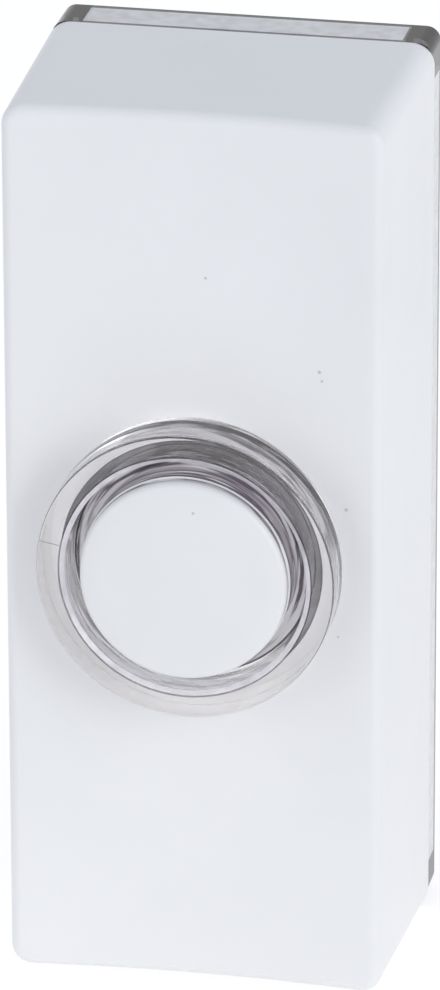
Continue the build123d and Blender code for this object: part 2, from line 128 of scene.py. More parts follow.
def finish_mesh(piece, angle=35, doubles=0.002):
    """Merges doubled points, turns the faces outwards and shades the round parts smooth."""
    bpy.ops.object.mode_set(mode="EDIT")
    bpy.ops.mesh.select_all(action="SELECT")
    bpy.ops.mesh.remove_doubles(threshold=doubles * MM)
    bpy.ops.mesh.normals_make_consistent(inside=False)
    bpy.ops.object.mode_set(mode="OBJECT")
    bpy.ops.object.select_all(action="DESELECT")
    piece.select_set(True)
    bpy.context.view_layer.objects.active = piece
    bpy.ops.object.shade_smooth_by_angle(angle=math.radians(angle))
    print(piece.name, "has", len(piece.data.polygons), "faces")


# %% [markdown]
# ## Turned pieces
#
# The ring, the button and their like are round about the Y axis. A lathe profile could be spun, but then
# the seam has to be welded. Extruding a circle from corner to corner of the half section, and resizing it
# at each one, gives the same shape with clean rings of quads. Round corners are short arcs in that section.


# %% Lathe
def round_corner(centre, radius, first, last, count=6):
    """Points of an arc in a half section, from one angle to another in degrees, as (radius, depth)."""
    points = []
    for step in range(count + 1):
        turn = math.radians(first + (last - first) * step / count)
        points.append((centre[0] + radius * math.cos(turn), centre[1] + radius * math.sin(turn)))
    return points


def lathe(name, section, steps=128):
    """Extrudes a circle through the corners of a half section, given as (radius, depth) in mm."""
    start_piece()
    radius, depth = section[0]
    bpy.ops.mesh.primitive_circle_add(
        vertices=steps, radius=radius * MM, location=(0, -depth * MM, 0), rotation=(math.pi / 2, 0, 0)
    )
    piece = place(bpy.context.object, name)
    bpy.ops.object.mode_set(mode="EDIT")
    bpy.ops.mesh.select_mode(type="EDGE")
    bpy.ops.mesh.select_all(action="SELECT")
    for (radius, depth), (next_radius, next_depth) in zip(section, section[1:]):
        step = (0, (depth - next_depth) * MM, 0)
        bpy.ops.mesh.extrude_region_move(TRANSFORM_OT_translate={"value": step})
        ratio = next_radius / radius
        bpy.ops.transform.resize(value=(ratio, 1, ratio), center_override=(0, -next_depth * MM, 0))
    bpy.ops.object.mode_set(mode="OBJECT")
    return piece


def close_ends(piece):
    """Fills the open rings at both ends of a turned piece."""
    bpy.ops.object.mode_set(mode="EDIT")
    bpy.ops.mesh.select_all(action="SELECT")
    bpy.ops.mesh.fill_holes(sides=0)
    bpy.ops.object.mode_set(mode="OBJECT")


# %% [markdown]
# ## The cover
#
# The cover is one moulding: a deep box that narrows a little to the front, with rounded corners and a front
# that is hollow from side to side. It starts as a cube. The front is drawn in for the taper, the corners
# and the front edge are bevelled, the front is cut into upright strips, and the strips are moved back along
# a parabola to make the hollow. Solidify then gives the wall its thickness, and booleans cut the hole for
# the ring and add what is moulded inside.

# %% Cover shell
plate_depth = 4.4
front_depth = 23.5
cover_half_width = cad_high[0] / MM
cover_half_height = cad_high[2] / MM
side_taper = 0.45
top_taper = 0.25
bottom_taper = 1.0
corner_radius = 1.7
front_edge_radius = 0.9
front_dish = 0.9
cover_wall = 1.6
ring_hole_radius = 11.42
ring_seat_depth = 22.15
ledge_radius = 10.05
seat_radius = 12.3
seat_rear_depth = 21.0
strip_width = 1.2
rounding_margin = 0.2
spare = 1.0
front_half_width = cover_half_width - side_taper


def hollow(x):
    """How far the dished front lies behind its edges, at a distance from the middle, both in mm."""
    return front_dish * max(0.0, 1 - (x / front_half_width) ** 2)


def helper_block(kind, low, high):
    """A box or a cylinder along Y between two corners in mm, to cut or to join with a boolean."""
    start_piece()
    size = [(b - a) * MM for a, b in zip(low, high)]
    centre = [(a + b) / 2 * MM for a, b in zip(low, high)]
    if kind == "box":
        bpy.ops.mesh.primitive_cube_add(size=1, location=centre, scale=size)
    else:
        bpy.ops.mesh.primitive_cylinder_add(
            vertices=160, radius=size[0] / 2, depth=size[1], location=centre, rotation=(math.pi / 2, 0, 0)
        )
    return place(bpy.context.object, "helper")


def round_block(radius, rear, front):
    """A cylinder about the Y axis between two depths, in mm."""
    return helper_block("round", (-radius, -front, -radius), (radius, -rear, radius))


def combine(piece, helper, operation):
    """Joins a helper to a piece or cuts it away, and deletes the helper."""
    apply_modifier(piece, "BOOLEAN", object=helper, operation=operation, solver="EXACT")
    bpy.data.objects.remove(helper)


def make_cover():
    """The white shell, from a cube to its hollow front."""
    start_piece()
    depth = front_depth - plate_depth
    bpy.ops.mesh.primitive_cube_add(
        size=1,
        location=(0, -(front_depth + plate_depth) / 2 * MM, 0),
        scale=(2 * cover_half_width * MM, depth * MM, 2 * cover_half_height * MM),
    )
    cover = place(bpy.context.object, "cover_shell")
    pick(cover, "FACE", lambda face: face.normal.y < -0.9)
    shorter = (top_taper + bottom_taper) / 2
    narrow = (front_half_width / cover_half_width, 1, 1 - shorter / cover_half_height)
    bpy.ops.transform.resize(value=narrow, center_override=(0, -front_depth * MM, 0))
    bpy.ops.transform.translate(value=(0, 0, (bottom_taper - top_taper) / 2 * MM))
    pick(cover, "FACE", lambda face: face.normal.y > 0.9)
    bpy.ops.mesh.delete(type="ONLY_FACE")
    points = cover.data.vertices

    def runs_deep(edge):
        a, b = (points[i].co for i in edge.vertices)
        return abs(a.y - b.y) > depth * MM / 2

    pick(cover, "EDGE", runs_deep)
    bpy.ops.mesh.bevel(offset=corner_radius * MM, segments=10, affect="EDGES")

    def is_front(edge):
        return all(abs(points[i].co.y + front_depth * MM) < 0.01 * MM for i in edge.vertices)

    points = cover.data.vertices
    pick(cover, "EDGE", is_front)
    bpy.ops.mesh.bevel(offset=front_edge_radius * MM, segments=7, affect="EDGES")
    cuts = int((front_half_width - corner_radius) / strip_width)
    for cut in range(-cuts, cuts + 1):
        bpy.ops.mesh.select_all(action="SELECT")
        bpy.ops.mesh.bisect(plane_co=(cut * strip_width * MM, 0, 0), plane_no=(1, 0, 0))
    bpy.ops.object.mode_set(mode="OBJECT")
    rounded_from = -(front_depth - front_edge_radius - rounding_margin) * MM
    for point in cover.data.vertices:
        if point.co.y < rounded_from:
            point.co.y += hollow(point.co.x / MM) * MM
    finish_mesh(cover)
    return cover


cover = make_cover()

# %% Inside of the cover
snap_depth = 9.0
snap_half_width = 5.3
ledge_heights = {1: 33.49, -1: 33.31}
ledge_thickness = 1.2
pry_half_width = 4.0
pry_depth = 1.0

apply_modifier(cover, "SOLIDIFY", thickness=cover_wall * MM, offset=-1, use_even_offset=True)
combine(cover, round_block(seat_radius, seat_rear_depth, seat_rear_depth + cover_wall), "UNION")
combine(cover, round_block(ledge_radius, seat_rear_depth - spare, front_depth + spare), "DIFFERENCE")
combine(cover, round_block(ring_hole_radius, ring_seat_depth, front_depth + spare), "DIFFERENCE")
for side, ledge_height in ledge_heights.items():
    inner, outer = sorted((side * ledge_height, side * (ledge_height + cover_wall)))
    combine(
        cover,
        helper_block(
            "box",
            (-snap_half_width, -snap_depth, inner),
            (snap_half_width, -snap_depth + ledge_thickness, outer),
        ),
        "UNION",
    )
combine(
    cover,
    helper_block(
        "box",
        (-pry_half_width, -plate_depth - pry_depth, -cover_half_height - spare),
        (pry_half_width, -plate_depth + spare, -cover_half_height + 2 * cover_wall),
    ),
    "DIFFERENCE",
)
finish_mesh(cover, angle=32)

# %% [markdown]
# ## The clear ring
#
# A ring of clear plastic stands round the button. It rests on a white ledge in the cover, and a sleeve with
# a bead snaps in behind that ledge. Where one looks through it onto the ledge it is light, and where one
# looks past the ledge into the inside it is dark. Its outer wall is straight, its top is flat and its inner
# edge has a narrow bevel. The edges are only just broken, so that they show as the fine lines which give
# clear plastic away. An extra ring of points beside each rounding holds the long faces flat: smooth shading
# would bend them, and clear plastic shows a bent face as a lens. On its left a short dark strip crosses the
# flat top: a painted shade line, where the shade seen through the ring meets the light.

# %% Lens ring
ring_radius = 11.4
ring_bore_radius = 9.23
ring_land_radius = 9.6
ring_top_depth = 26.45
ring_rear_depth = 19.7
sleeve_radius = 9.95
bead_radius = 10.45
bead_depth = 20.9
bead_length = 0.6
bevel_depth = 0.27
bevel_angle = 126
outer_round = 0.22
fine_round = 0.05
hair_gap = 0.02
hold = 0.04

ring_section = [(ring_bore_radius, ring_rear_depth), (sleeve_radius, ring_rear_depth)]
ring_section += [(bead_radius, bead_depth - bead_length), (bead_radius, bead_depth)]
ring_section += [(sleeve_radius, bead_depth), (sleeve_radius, ring_seat_depth + hair_gap)]
ring_section += [(ring_radius, ring_seat_depth + hair_gap)]
ring_section += [(ring_radius, ring_top_depth - outer_round - hold)]
ring_section += round_corner(
    (ring_radius - outer_round, ring_top_depth - outer_round), outer_round, 0, 90, 8
)
ring_section += [(ring_radius - outer_round - hold, ring_top_depth)]
ring_section += [(ring_land_radius + fine_round + hold, ring_top_depth)]
ring_section += round_corner(
    (ring_land_radius + fine_round, ring_top_depth - fine_round), fine_round, 90, bevel_angle, 3
)
ring_section += round_corner(
    (ring_bore_radius + fine_round, ring_top_depth - bevel_depth - fine_round),
    fine_round,
    bevel_angle,
    180,
    3,
)
ring_section += [(ring_bore_radius, ring_top_depth - bevel_depth - fine_round - hold)]
ring_section += [ring_section[0]]
lens_ring = lathe("clear_ring", ring_section, steps=192)
finish_mesh(lens_ring, angle=20)

# %% Painted shade line on the ring
shade_line_angle = math.radians(169)
shade_line_width = 0.1
shade_line_inner = 9.75
shade_line_outer = 11.3
shade_line_lift = 0.004
shade_line_sink = 0.02
shade_line_taper = 0.3

# A thin dark strip sunk into the ring's top paints the line where shade meets light seen through the ring.
start_piece()
bpy.ops.mesh.primitive_cube_add(
    size=1,
    location=((shade_line_inner + shade_line_outer) / 2 * MM, -(ring_top_depth + shade_line_lift) * MM, 0),
    scale=((shade_line_outer - shade_line_inner) * MM, 2 * shade_line_sink * MM, shade_line_width * MM),
)
painted_shade_line = place(bpy.context.object, "ring_painted_shade_line")
pick(painted_shade_line, "FACE", lambda face: abs(face.normal.x) > 0.9)
bpy.ops.transform.resize(value=(1, 1, shade_line_taper), center_override=(0, -ring_top_depth * MM, 0))
bpy.ops.object.mode_set(mode="OBJECT")
painted_shade_line.data.transform(Matrix.Rotation(-shade_line_angle, 4, "Y"))
finish_mesh(painted_shade_line)

# %% [markdown]
# ## The button
#
# The button is a white cup whose rim slopes gently and ends in a soft edge. Its skirt has a fine shoulder
# and, deep in the ring's bore, a thin brim that closes the view down the gap. Its stem runs back through
# the switch. Two extra rings near the edge of the flat face keep its shading flat, because smooth shading
# blends across a large face.

# %% Button cap
cap_radius = 7.9
cap_depth = 27.5
cap_edge = 0.45
cap_rim_width = 1.3
cap_rim_drop = 0.2
cap_rim_blend = 5.0
shoulder_depth = 26.1
shoulder_width = 0.12
brim_depth = 22.8
brim_radius = 9.05
brim_thickness = 0.5
face_hold = (0.5, 0.2)
centre_radius = 0.5
cap_skirt = 7.0
cap_roof = 1.6
cap_wall = 1.2
stem_radius = 1.75
neck_radius = 1.2
bridge_front = 13.65
stem_end = 12.25
skirt_depth = cap_depth - cap_skirt
roof_depth = cap_depth - cap_roof

rim_slope = math.atan2(cap_rim_drop, cap_rim_width)
rim_angle = 90 - math.degrees(rim_slope)
blend_start = cap_radius - cap_rim_width - cap_rim_blend * math.tan(rim_slope / 2)
edge_centre = (
    cap_radius - cap_edge,
    cap_depth - (cap_rim_width - cap_edge) * math.tan(rim_slope) - cap_edge / math.cos(rim_slope),
)

cap_section = [(centre_radius, cap_depth)]
cap_section += [(blend_start - inward, cap_depth) for inward in face_hold]
cap_section += round_corner((blend_start, cap_depth - cap_rim_blend), cap_rim_blend, 90, rim_angle, 6)
cap_section += round_corner(edge_centre, cap_edge, rim_angle, 0, 10)
cap_section += [(cap_radius, shoulder_depth), (cap_radius + shoulder_width, shoulder_depth)]
cap_section += [(cap_radius + shoulder_width, brim_depth), (brim_radius, brim_depth)]
cap_section += [(brim_radius, brim_depth - brim_thickness)]
cap_section += [(cap_radius + shoulder_width, brim_depth - brim_thickness)]
cap_section += [(cap_radius + shoulder_width, skirt_depth), (cap_radius - cap_wall, skirt_depth)]
cap_section += [(cap_radius - cap_wall, roof_depth), (stem_radius, roof_depth), (stem_radius, bridge_front)]
cap_section += [(neck_radius, bridge_front), (neck_radius, stem_end)]
button = lathe("push_cap", cap_section, steps=160)
close_ends(button)
finish_mesh(button)

# %% [markdown]
# ## The return spring
#
# A coil of round wire lifts the button. The CAD coil has eight flat sides to keep it light, so a round one
# takes its place: a small circle beside the Y axis, and a Screw modifier that winds it up.

# %% Spring
spring_radius = 4.2
spring_wire = 0.6
spring_turns = 5.5
spring_steps = int(40 * spring_turns)
spring_seat = 15.1
spring_length = roof_depth - spring_seat - spring_wire

start_piece()
bpy.ops.mesh.primitive_circle_add(
    vertices=14,
    radius=spring_wire / 2 * MM,
    location=(spring_radius * MM, -(spring_seat + spring_wire / 2) * MM, 0),
)
spring = place(bpy.context.object, "wire_spring")
apply_modifier(
    spring,
    "SCREW",
    axis="Y",
    angle=2 * math.pi * spring_turns,
    screw_offset=-spring_length * MM,
    steps=spring_steps,
    render_steps=spring_steps,
    use_merge_vertices=False,
)
close_ends(spring)
finish_mesh(spring, doubles=0.0005)

# %% [markdown]
# ## Finishes
#
# Each finish is a small node tree on a Principled shader. Noise on Object coordinates varies the colour and
# the roughness a little, and a fine bump keeps the gloss from looking like a computer's. What is the same
# all over is set on the shader's own sockets. Masks, which are 1 in some places and 0 elsewhere, are
# reckoned from the same coordinates, so they stay with the piece.

# %% Material tools
noise_low = 0.3
noise_high = 0.7
line_drift = 0.1
spot_core = 0.5
spot_reach = 1.4


def shader_of(material):
    """The Principled shader of a finish."""
    return material.node_tree.nodes["Principled BSDF"]


def new_finish(name, colour, roughness, **sockets):
    """A Principled material with its plain values set on the shader's sockets."""
    material = bpy.data.materials.new(name)
    material.use_nodes = True
    shader = shader_of(material)
    shader.inputs["Base Color"].default_value = (*colour, 1)
    shader.inputs["Roughness"].default_value = roughness
    for socket, value in sockets.items():
        shader.inputs[socket.replace("_", " ")].default_value = value
    return material


def add_node(holder, kind, **values):
    """A node of a material or a world, with values set on its own fields or on its input sockets."""
    node = holder.node_tree.nodes.new(kind)
    for key, value in values.items():
        if hasattr(node, key):
            setattr(node, key, value)
        else:
            node.inputs[key.replace("_", " ")].default_value = value
    return node


def wire(holder, source, target):
    """Joins an output socket to an input socket."""
    holder.node_tree.links.new(source, target)


def coordinates_of(holder, kind="Object"):
    """The coordinates of what is being shaded, as three sockets named X, Y and Z."""
    coordinates = add_node(holder, "ShaderNodeTexCoord")
    split = add_node(holder, "ShaderNodeSeparateXYZ")
    wire(holder, coordinates.outputs[kind], split.inputs["Vector"])
    return split.outputs


def reckon(holder, operation, first, second=0.0):
    """One step of arithmetic on a socket and a socket or number."""
    step = add_node(holder, "ShaderNodeMath", operation=operation)
    wire(holder, first, step.inputs[0])
    if isinstance(second, (int, float)):
        step.inputs[1].default_value = second
    else:
        wire(holder, second, step.inputs[1])
    return step.outputs["Value"]


def remap(holder, source, from_low, from_high, to_low=0.0, to_high=1.0):
    """Moves the numbers of a socket from one range to another, and keeps them within it."""
    span = add_node(holder, "ShaderNodeMapRange", From_Min=from_low, From_Max=from_high)
    span.inputs["To Min"].default_value = to_low
    span.inputs["To Max"].default_value = to_high
    wire(holder, source, span.inputs["Value"])
    return span.outputs["Result"]


def distance_from(holder, source, point):
    """The distance of a vector socket from a point."""
    reach = add_node(holder, "ShaderNodeVectorMath", operation="DISTANCE")
    reach.inputs[1].default_value = point
    wire(holder, source, reach.inputs[0])
    return reach.outputs["Value"]


# %% Masks
def where_both(material, first, second):
    """A mask that is 1 where two masks are."""
    return reckon(material, "MULTIPLY", first, second)


def where_either(material, first, second):
    """A mask that is 1 where one of two masks is."""
    return reckon(material, "MAXIMUM", first, second)


def beyond(material, source, limit):
    """A mask that is 1 where a length is above a limit in mm."""
    return reckon(material, "GREATER_THAN", source, limit * MM)


def within(material, source, limit):
    """A mask that is 1 where a length is below a limit in mm."""
    return reckon(material, "LESS_THAN", source, limit * MM)


def near(material, source, middle, half_width):
    """A mask that is 1 where a length is close to a middle, both in mm."""
    mask = add_node(material, "ShaderNodeMath", operation="COMPARE")
    mask.inputs[1].default_value = middle * MM
    mask.inputs[2].default_value = half_width * MM
    wire(material, source, mask.inputs[0])
    return mask.outputs["Value"]


def spot(material, x, z, radius):
    """A mask that is 1 at a place on the front and fades away about a radius, in mm."""
    coordinates = add_node(material, "ShaderNodeTexCoord")
    flat = add_node(material, "ShaderNodeVectorMath", operation="MULTIPLY")
    flat.inputs[1].default_value = (1, 0, 1)
    wire(material, coordinates.outputs["Object"], flat.inputs[0])
    reach = distance_from(material, flat.outputs["Vector"], (x * MM, 0, z * MM))
    return remap(material, reach, radius * spot_reach * MM, radius * spot_core * MM)


def off_axis(material, point):
    """The distance of a point from the Y axis."""
    squares = [reckon(material, "MULTIPLY", point[axis], point[axis]) for axis in ("X", "Z")]
    return reckon(material, "POWER", reckon(material, "ADD", *squares), 0.5)


# %% Patterns
def grain(material, scale, stretch=(1, 1, 1), detail=3):
    """Noise in grains for each millimetre, stretched along the axes, on Object coordinates."""
    coordinates = add_node(material, "ShaderNodeTexCoord")
    mapping = add_node(material, "ShaderNodeMapping", Scale=tuple(s * scale / MM for s in stretch))
    noise = add_node(material, "ShaderNodeTexNoise", Scale=1.0, Detail=detail)
    wire(material, coordinates.outputs["Object"], mapping.inputs["Vector"])
    wire(material, mapping.outputs["Vector"], noise.inputs["Vector"])
    return noise.outputs["Fac"]


def turned_grain(material, scale):
    """Noise drawn out into lines round the Y axis, in lines for each millimetre."""
    point = coordinates_of(material)
    drift = reckon(material, "MULTIPLY", point["X"], line_drift)
    joined = add_node(material, "ShaderNodeCombineXYZ")
    wire(material, reckon(material, "ADD", off_axis(material, point), drift), joined.inputs["X"])
    wire(material, point["Y"], joined.inputs["Y"])
    wire(material, reckon(material, "MULTIPLY", point["Z"], line_drift), joined.inputs["Z"])
    noise = add_node(material, "ShaderNodeTexNoise", Scale=scale / MM, Detail=3)
    wire(material, joined.outputs["Vector"], noise.inputs["Vector"])
    return noise.outputs["Fac"]


def vary(material, pattern, socket, low, high):
    """Lets a pattern move a shader's number between two values."""
    number = remap(material, pattern, noise_low, noise_high, low, high)
    wire(material, number, shader_of(material).inputs[socket])


def mottle(material, pattern, dark, light):
    """Lets a pattern move the base colour between two colours."""
    ramp = add_node(material, "ShaderNodeValToRGB")
    ramp.color_ramp.elements[0].position = noise_low
    ramp.color_ramp.elements[0].color = (*dark, 1)
    ramp.color_ramp.elements[1].position = noise_high
    ramp.color_ramp.elements[1].color = (*light, 1)
    wire(material, pattern, ramp.inputs["Fac"])
    wire(material, ramp.outputs["Color"], shader_of(material).inputs["Base Color"])


def overlay(material, mask, colour):
    """Lays a colour over a mottled base colour where a mask is 1."""
    base = shader_of(material).inputs["Base Color"]
    mix = add_node(material, "ShaderNodeMix", data_type="RGBA")
    below, above = (socket for socket in mix.inputs if socket.type == "RGBA")
    above.default_value = (*colour, 1)
    wire(material, mask, mix.inputs["Factor"])
    wire(material, base.links[0].from_socket, below)
    wire(material, next(socket for socket in mix.outputs if socket.type == "RGBA"), base)


def emboss(material, pattern, strength, height):
    """A bump from a pattern, of a height in mm."""
    bump = add_node(material, "ShaderNodeBump", Strength=strength, Distance=height * MM)
    wire(material, pattern, bump.inputs["Height"])
    wire(material, bump.outputs["Normal"], shader_of(material).inputs["Normal"])


# %% [markdown]
# ## White plastic
#
# The cover is satin ABS: nearly even in colour, with a soft gloss and the finest of textures. A few specks
# of dust sit on it. The button is the same plastic with a little more gloss. Its skirt lies in the ring's
# shade, and that shade is painted into its colour: a painted grey shade, lighter deep in the bore, painted
# streaks of shade and reflection that run round it and two fine painted lines, one light and one dark, at
# its shoulder are laid over the white there.

# %% White plastic
specks = [(9.6, 15.9, 0.13), (9.8, 15.2, 0.1), (11.7, 5.1, 0.13), (0.9, 22.6, 0.1), (11.1, -5.3, 0.08)]
cap_specks = [(0.9, 5.7, 0.11)]
speck_grey = (0.5, 0.51, 0.53)
# Where and how the ring's shade is painted on the button's skirt: a grey shade, then a lighter one deep in
# the bore.
skirt_start = cap_depth - cap_rim_drop - cap_edge
skirt_fade = 0.4
skirt_painted_shade = (0.36, 0.33, 0.37)
deep_start = 24.2
deep_fade = 0.9
deep_painted_shade = (0.66, 0.65, 0.66)
streak_edge = 0.08
# Painted streaks of shade and reflection: streaks for each mm, the least noise that shows, and the colour.
skirt_painted_streaks = ((1.7, 0.46, (0.1, 0.08, 0.105)), (2.3, 0.56, (0.7, 0.69, 0.7)))
# Painted light and dark lines at the shoulder: how far below it a line lies, half its width, and its colour.
shoulder_painted_lines = ((0.0, 0.05, (0.78, 0.78, 0.78)), (0.22, 0.16, (0.09, 0.08, 0.09)))


def white_plastic(name, dark, light, roughness, dust):
    """Moulded white plastic with a faint mottle and a few specks of dust."""
    material = new_finish(name, light, roughness, IOR=1.5)
    mottle(material, grain(material, 0.07), dark, light)
    for x, z, radius in dust:
        overlay(material, spot(material, x, z, radius), speck_grey)
    vary(material, grain(material, 1.5), "Roughness", roughness - 0.03, roughness + 0.03)
    emboss(material, grain(material, 5, detail=2), 0.05, 0.02)
    return material


def further_back(material, depth, fade):
    """A mask that grows to 1 behind a depth, over a length, both in mm."""
    return remap(material, coordinates_of(material)["Y"], -depth * MM, (fade - depth) * MM)


cover_white = white_plastic("satin_white_abs", (0.78, 0.776, 0.778), (0.805, 0.80, 0.803), 0.38, specks)
cap_white = white_plastic("button_white_abs", (0.765, 0.76, 0.758), (0.785, 0.78, 0.775), 0.33, cap_specks)
# The ring's shade is painted on the button's skirt: a grey shade, a lighter one deep in the bore, streaks of
# painted shade and reflection, and a light and a dark painted line at the shoulder.
overlay(cap_white, further_back(cap_white, skirt_start, skirt_fade), skirt_painted_shade)
overlay(cap_white, further_back(cap_white, deep_start, deep_fade), deep_painted_shade)
for streaks, least, colour in skirt_painted_streaks:
    lines = remap(cap_white, turned_grain(cap_white, streaks), least, least + streak_edge)
    skirt = further_back(cap_white, skirt_start, skirt_fade)
    overlay(cap_white, where_both(cap_white, skirt, lines), colour)
# A painted highlight line at the shoulder and a painted shade line below it.
for below, half_width, colour in shoulder_painted_lines:
    line = near(cap_white, coordinates_of(cap_white)["Y"], below - shoulder_depth, half_width)
    overlay(cap_white, line, colour)

# %% [markdown]
# ## Clear plastic
#
# Ring and wall plate are clear plastic, with a trace of roughness and ripple that keeps it from being
# perfect. The ring's index of refraction is higher than glass, so its edges bend the light strongly. Its
# bevel and its sleeve are frosted, fine lines run round its bore, and a dark line of painted shade, standing
# in for the dark refraction at the bevel's edge, lies beside the bevel.
# The plate's index is low, so it mirrors less of the white room, and it swallows some light along the way.
# The outer faces of its rim are frosted between edges of painted shade, and its corners are clear and
# tinted dark with painted shade.

# %% Clear plastic
ring_tint = (0.895, 0.89, 0.9)
bevel_share = 0.35
sleeve_lines = 1.5
sleeve_noise = (0.35, 0.65)
sleeve_least = 0.3
sleeve_frost = 0.6
sleeve_frost_sides = 1.6
sides_start = 3.0
sides_end = 8.0
bore_lines = 2.6
bore_noise = (0.54, 0.6)
# Width and colour of a dark line of painted shade beside the bevel.
bevel_shade_width = 0.12
bevel_painted_shade = (0.12, 0.11, 0.12)

plate_tint = (0.93, 0.925, 0.93)
rim_share = 0.15
# The rim's corners are clear but tinted near black: painted shade.
corner_across = 12.35
corner_along = 32.5
corner_painted_shade = (0.02, 0.017, 0.02)
inside_across = 14.0
inside_along = 35.2
# Bands at the rim's rear and front edges are greyed as painted shade.
rear_edge = 0.82
front_edge_width = 0.4
front_edge = plate_depth - front_edge_width
rim_edge_painted_shade = (0.09, 0.085, 0.09)


def clear_plastic(name, tint, roughness, index):
    """Clear plastic with slightly rippled faces and an index of refraction."""
    material = new_finish(name, tint, roughness, IOR=index, Transmission_Weight=1.0)
    vary(material, grain(material, 0.8), "Roughness", roughness, roughness + 0.02)
    emboss(material, grain(material, 0.25, detail=0), 0.04, 0.03)
    return material


def smoky(material, colour, density):
    """Lets clear plastic swallow light along the way through it, in shares for each metre."""
    depth = add_node(material, "ShaderNodeVolumeAbsorption", Density=density, Color=(*colour, 1))
    wire(material, depth.outputs["Volume"], material.node_tree.nodes["Material Output"].inputs["Volume"])


def frost(material, clear, dark, light, layers, share):
    """Mottled frosting under layers of colour, with a share of the light let through where it isn't clear."""
    mottle(material, grain(material, 1.0), dark, light)
    for mask, colour in layers:
        overlay(material, mask, colour)
    passed = remap(material, clear, 0.0, 1.0, share, 1.0)
    wire(material, passed, shader_of(material).inputs["Transmission Weight"])


def frost_ring(material, dark, light):
    """Frosts the ring's bevel, its sleeve in streaks and its bore in fine lines, and paints a line of shade
    beside the bevel.
    """
    point = coordinates_of(material)
    radius = off_axis(material, point)
    bore = within(material, radius, ring_bore_radius + fine_round / 2)
    land = beyond(material, radius, ring_land_radius - fine_round / 2)
    below_bevel = beyond(material, point["Y"], -(ring_top_depth - bevel_depth - fine_round))
    clear = where_either(material, where_either(material, bore, land), below_bevel)

    behind_seat = beyond(material, point["Y"], -(ring_seat_depth - hair_gap))
    sleeve = where_both(material, behind_seat, beyond(material, radius, ring_bore_radius + fine_round))
    across = reckon(material, "ABSOLUTE", point["X"])
    strength = remap(material, across, sides_start * MM, sides_end * MM, sleeve_frost, sleeve_frost_sides)
    streaks = remap(material, turned_grain(material, sleeve_lines), *sleeve_noise, sleeve_least)
    frosting = reckon(material, "MULTIPLY", streaks, strength)
    clear = reckon(material, "SUBTRACT", clear, where_both(material, sleeve, frosting))

    lines = remap(material, turned_grain(material, bore_lines), *bore_noise)
    clear = reckon(material, "SUBTRACT", clear, where_both(material, bore, lines))

    # A dark line of painted shade beside the bevel, on the top.
    bevel_shade_band = near(material, radius, ring_land_radius + bevel_shade_width / 2, bevel_shade_width / 2)
    top = within(material, point["Y"], -(ring_top_depth - fine_round))
    layers = ((clear, ring_tint), (where_both(material, bevel_shade_band, top), bevel_painted_shade))
    frost(material, clear, dark, light, layers, bevel_share)


def frost_rim(material, dark, light):
    """Frosts the outer faces of the plate's rim between edges of painted shade. Its corners and inside stay
    clear, the corners tinted dark as painted shade.
    """
    point = coordinates_of(material)
    across = reckon(material, "ABSOLUTE", point["X"])
    along = reckon(material, "ABSOLUTE", point["Z"])
    at_sides = beyond(material, across, corner_across)
    corner = where_both(material, at_sides, beyond(material, along, corner_along))
    between_sides = within(material, across, inside_across)
    inside = where_both(material, between_sides, within(material, along, inside_along))
    # The bands at the rear and front edges, and the corners, take painted shade.
    rear = beyond(material, point["Y"], -rear_edge)
    edges = where_either(material, rear, within(material, point["Y"], -front_edge))
    layers = ((edges, rim_edge_painted_shade), (inside, plate_tint), (corner, corner_painted_shade))
    frost(material, where_either(material, corner, inside), dark, light, layers, rim_share)


ring_clear = clear_plastic("clear_ring_plastic", ring_tint, 0.01, 1.58)
frost_ring(ring_clear, (0.72, 0.69, 0.735), (0.9, 0.875, 0.915))
plate_clear = clear_plastic("clear_plate_plastic", plate_tint, 0.03, 1.3)
frost_rim(plate_clear, (0.56, 0.555, 0.56), (0.71, 0.705, 0.71))
smoky(plate_clear, (0.5, 0.48, 0.5), 120)
# The dark grey of the painted shade line on the ring.
shade_line_dark = new_finish("painted_shade_line_grey", (0.09, 0.085, 0.09), 0.5)
mottle(shade_line_dark, grain(shade_line_dark, 3), (0.06, 0.055, 0.06), (0.14, 0.13, 0.14))

# %% [markdown]
# ## The inside
#
# What lies inside shows only through the clear ring and the clear plate, or when the part is taken apart,
# but it has its true finishes: natural nylon, brown board, brass, tin and zinc plate, spring steel, silver
# contacts and clear lamps.

# %% Finishes of the inside
def metal(name, dark, light, roughness, stretch):
    """Bare or plated metal with fine lines along one axis."""
    material = new_finish(name, light, roughness, Metallic=1.0)
    mottle(material, grain(material, 1.2, stretch), dark, light)
    vary(material, grain(material, 6, stretch), "Roughness", roughness - 0.08, roughness + 0.1)
    emboss(material, grain(material, 10, stretch, 2), 0.06, 0.01)
    return material


brass = metal("rolled_brass", (0.66, 0.46, 0.19), (0.80, 0.60, 0.28), 0.32, (1, 1, 0.1))
tin = metal("tin_plate", (0.34, 0.325, 0.33), (0.48, 0.46, 0.47), 0.42, (1, 1, 0.1))
zinc = metal("zinc_plate", (0.52, 0.53, 0.55), (0.68, 0.69, 0.72), 0.36, (1, 1, 1))
spring_steel = metal("spring_steel", (0.40, 0.40, 0.42), (0.60, 0.60, 0.62), 0.28, (1, 1, 1))
silver = metal("contact_silver", (0.78, 0.78, 0.76), (0.90, 0.90, 0.88), 0.25, (1, 1, 1))

nylon = new_finish("natural_nylon", (0.78, 0.78, 0.76), 0.5, IOR=1.53)
mottle(nylon, grain(nylon, 0.15), (0.74, 0.74, 0.72), (0.80, 0.80, 0.78))
emboss(nylon, grain(nylon, 6), 0.08, 0.02)

board_brown = new_finish("phenolic_board", (0.10, 0.065, 0.06), 0.55)
mottle(board_brown, grain(board_brown, 0.8, (0.3, 1, 1)), (0.18, 0.135, 0.155), (0.38, 0.30, 0.33))
emboss(board_brown, grain(board_brown, 4, (0.3, 1, 1)), 0.1, 0.02)

